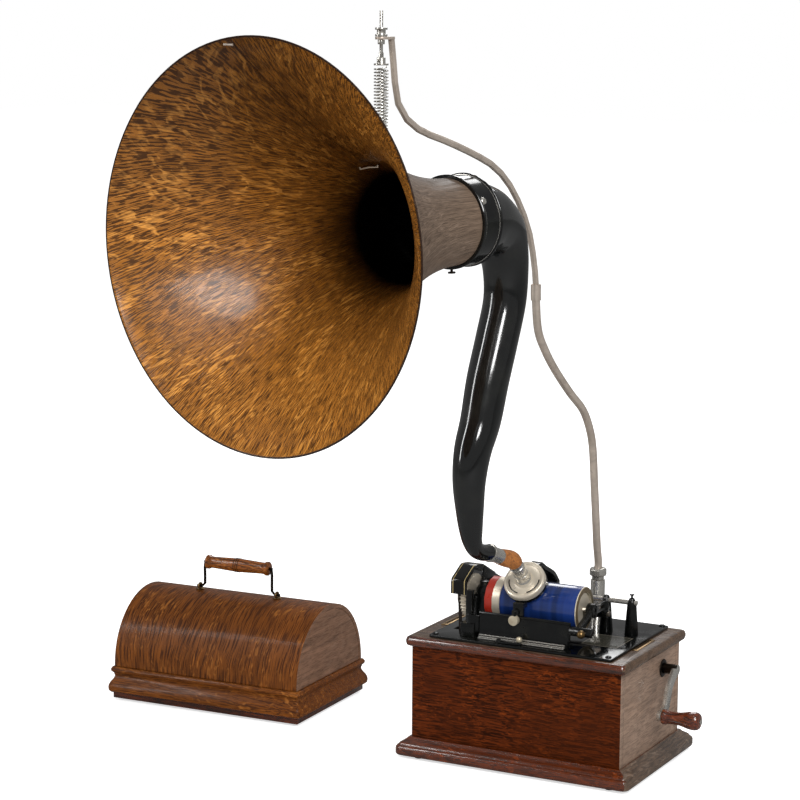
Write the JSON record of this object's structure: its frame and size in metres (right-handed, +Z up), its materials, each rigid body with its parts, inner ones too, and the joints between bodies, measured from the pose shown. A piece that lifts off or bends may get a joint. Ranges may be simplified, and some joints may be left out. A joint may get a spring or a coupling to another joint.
{
  "type": "cylinder phonograph",
  "caption": "Table phonograph for cylinder records: wooden case with crank, feed-screw works on top, curved horn hung from a rear crane, and its arched lid standing beside it.",
  "frame": {"origin": "centre of the case's underside, 4 mm above the surface that its feet stand on", "axes": "+X to the crank's side, +Y to the back, where the crane stands, +Z up"},
  "size_m": [0.8552, 0.7312, 0.946],
  "materials": {
    "case_oak": "red-brown varnished oak",
    "lid_oak": "worn varnished oak, orange-brown",
    "horn_oak": "quarter-sawn oak veneer, satin",
    "dark_wood": "dark turned hardwood, polished",
    "foot_rubber": "hard black rubber",
    "black_iron": "black japanned, glossy",
    "black_enamel": "black enamel with a high gloss",
    "nickel": "aged nickel plate",
    "steel": "bare steel, slightly dull",
    "brass": "aged brass",
    "record_blue": "deep blue celluloid, fine grooves",
    "gum_rubber": "old gum rubber, matt and cracked",
    "belt_leather": "dark leather belt"
  },
  "bodies": {
    "base": {"case_front": "case_oak", "case_back": "case_oak", "case_left": "case_oak", "case_right": "case_oak", "base_moulding": "case_oak", "bottom_board": "case_oak", "top_board": "case_oak", "foot_1": "foot_rubber", "foot_2": "foot_rubber", "foot_3": "foot_rubber", "foot_4": "foot_rubber", "bedplate": "black_iron", "main_frame": "black_iron", "gear_cover": "black_enamel", "back_rod": "nickel", "post_inner": "black_iron", "post_outer": "black_iron", "straight_edge": "black_enamel", "crane_socket": "nickel", "motor_frame": "steel", "drive_belt": "belt_leather"},
    "mandrel": {"mandrel": "nickel", "record": "record_blue"},
    "feed_screw": {"feed_screw": "steel"},
    "drive_pulley": {"drive_pulley": "brass"},
    "governor": {"governor": "brass"},
    "spring_barrel": {"spring_barrel": "brass"},
    "crank": {"crank": "nickel"},
    "crank_grip": {"crank_grip": "dark_wood"},
    "end_gate": {"end_gate": "black_iron"},
    "start_lever": {"start_lever": "brass"},
    "carriage": {"carriage_sleeve": "nickel", "rubber_connector": "gum_rubber"},
    "arm": {"carriage_arm": "nickel", "reproducer": "nickel"},
    "lift_lever": {"lift_lever": "brass"},
    "weight": {"reproducer_weight": "nickel"},
    "horn": {"horn_bell": "horn_oak", "horn_collar": "black_enamel", "horn_elbow": "black_enamel", "elbow_ferrule": "nickel", "horn_loop": "brass"},
    "crane": {"crane_lower_tube": "steel", "crane_upper_tube": "steel", "hanger_rod": "steel"},
    "crane_nut": {"crane_nut": "nickel"},
    "hanger_nut": {"hanger_nut": "nickel"},
    "hanger": {"hanger_coupling": "steel", "hanger_spring": "steel", "hanger_hook": "steel"},
    "lid": {"lid_moulding": "lid_oak", "lid_vault": "lid_oak", "lid_end_left": "lid_oak", "lid_end_right": "lid_oak", "latch_left": "steel", "latch_right": "steel", "bail_eye_left": "brass", "bail_eye_right": "brass"},
    "bail": {"lid_bail": "steel"},
    "bail_grip": {"lid_grip": "dark_wood"}
  },
  "joints": [
    {"name": "crank_turn", "type": "hinge", "parent": "base", "child": "crank", "pos_m": [0.15, 0.04, 0.118], "axis": [1, 0, 0], "continuous": true},
    {"name": "crank_grip_spin", "type": "hinge", "parent": "crank", "child": "crank_grip", "pos_m": [0.19, -0.0109, 0.07053], "axis": [1, 0, 0], "continuous": true},
    {"name": "spring_barrel_turn", "type": "hinge", "parent": "base", "child": "spring_barrel", "pos_m": [0.01, 0.00494, 0.07892], "axis": [1, 0, 0], "continuous": true},
    {"name": "mandrel_spin", "type": "hinge", "parent": "base", "child": "mandrel", "pos_m": [0.01, -0.03, 0.2], "axis": [1, 0, 0], "continuous": true},
    {"name": "feed_screw_turn", "type": "hinge", "parent": "base", "child": "feed_screw", "pos_m": [0, 0.0175, 0.18572], "axis": [1, 0, 0], "continuous": true},
    {"name": "drive_pulley_turn", "type": "hinge", "parent": "base", "child": "drive_pulley", "pos_m": [-0.07, -0.03, 0.105], "axis": [1, 0, 0], "continuous": true},
    {"name": "governor_turn", "type": "hinge", "parent": "base", "child": "governor", "pos_m": [0.01, 0.052, 0.072], "axis": [1, 0, 0], "continuous": true},
    {"name": "end_gate_swing", "type": "hinge", "parent": "base", "child": "end_gate", "pos_m": [0.076, 0.008, 0.2], "axis": [0, 0, 1], "range_deg": [0, 95]},
    {"name": "start_lever_turn", "type": "hinge", "parent": "base", "child": "start_lever", "pos_m": [-0.026, -0.088, 0.1605], "axis": [0, 0, -1], "range_deg": [0, 25]},
    {"name": "carriage_slide", "type": "slide", "parent": "base", "child": "carriage", "axis": [1, 0, 0], "range_m": [-0.03, 0.06]},
    {"name": "arm_lift", "type": "hinge", "parent": "carriage", "child": "arm", "pos_m": [-0.02, 0.031, 0.2002], "axis": [-1, 0, 0], "range_deg": [0, 4], "deforming": ["rubber_connector"]},
    {"name": "lift_lever_turn", "type": "hinge", "parent": "arm", "child": "lift_lever", "pos_m": [-0.008, -0.079, 0.19805], "axis": [0, 1, 0], "range_deg": [0, 60]},
    {"name": "weight_pivot", "type": "hinge", "parent": "arm", "child": "weight", "pos_m": [-0.007, -0.03776, 0.2391], "axis": [-1, 0, 0], "range_deg": [0, 2]},
    {"name": "horn_swing", "type": "hinge", "parent": "carriage", "child": "horn", "pos_m": [-0.01508, -0.09965, 0.2713], "axis": [0, 0, 1], "range_deg": [-6.2, 3.2]},
    {"name": "crane_swivel", "type": "hinge", "parent": "base", "child": "crane", "pos_m": [0.0202, 0.116, 0.19], "axis": [0, 0, 1], "range_deg": [-2.4, 4.6]},
    {"name": "hanger_swing", "type": "hinge", "parent": "crane", "child": "hanger", "pos_m": [-0.06038, -0.34013, 0.888], "axis": [0.9827, -0.1852, 0], "range_deg": [-3.5, 6.7]},
    {"name": "crane_nut_turn", "type": "hinge", "parent": "base", "child": "crane_nut", "pos_m": [0.0202, 0.116, 0.211], "axis": [0, 0, 1], "continuous": true},
    {"name": "hanger_nut_turn", "type": "hinge", "parent": "crane", "child": "hanger_nut", "pos_m": [-0.06038, -0.34013, 0.918], "axis": [0, 0, 1], "continuous": true},
    {"name": "lid_lift", "type": "slide", "parent": "base", "child": "lid", "axis": [0, 0, 1], "range_m": [0, 0.2]},
    {"name": "bail_swing", "type": "hinge", "parent": "lid", "child": "bail", "pos_m": [-0.4834, 0.0326, 0.1465], "axis": [0.9995, 0.033, 0], "range_deg": [-91, 91]},
    {"name": "bail_grip_spin", "type": "hinge", "parent": "bail", "child": "bail_grip", "pos_m": [-0.4834, 0.0326, 0.182], "axis": [0.9995, 0.033, 0], "continuous": true}
  ],
  "couplings": [
    {"joint": "spring_barrel_turn", "follows": "crank_turn", "ratio": -0.38889},
    {"joint": "feed_screw_turn", "follows": "mandrel_spin", "ratio": -1.2143},
    {"joint": "drive_pulley_turn", "follows": "mandrel_spin", "ratio": 1.6},
    {"joint": "governor_turn", "follows": "mandrel_spin", "ratio": 5},
    {"joint": "lift_lever_turn", "follows": "arm_lift", "ratio": 15},
    {"joint": "horn_swing", "follows": "carriage_slide", "rad_per_m": -1.717},
    {"joint": "crane_swivel", "follows": "carriage_slide", "rad_per_m": 1.2312},
    {"joint": "hanger_swing", "follows": "carriage_slide", "rad_per_m": 1.845}
  ]
}
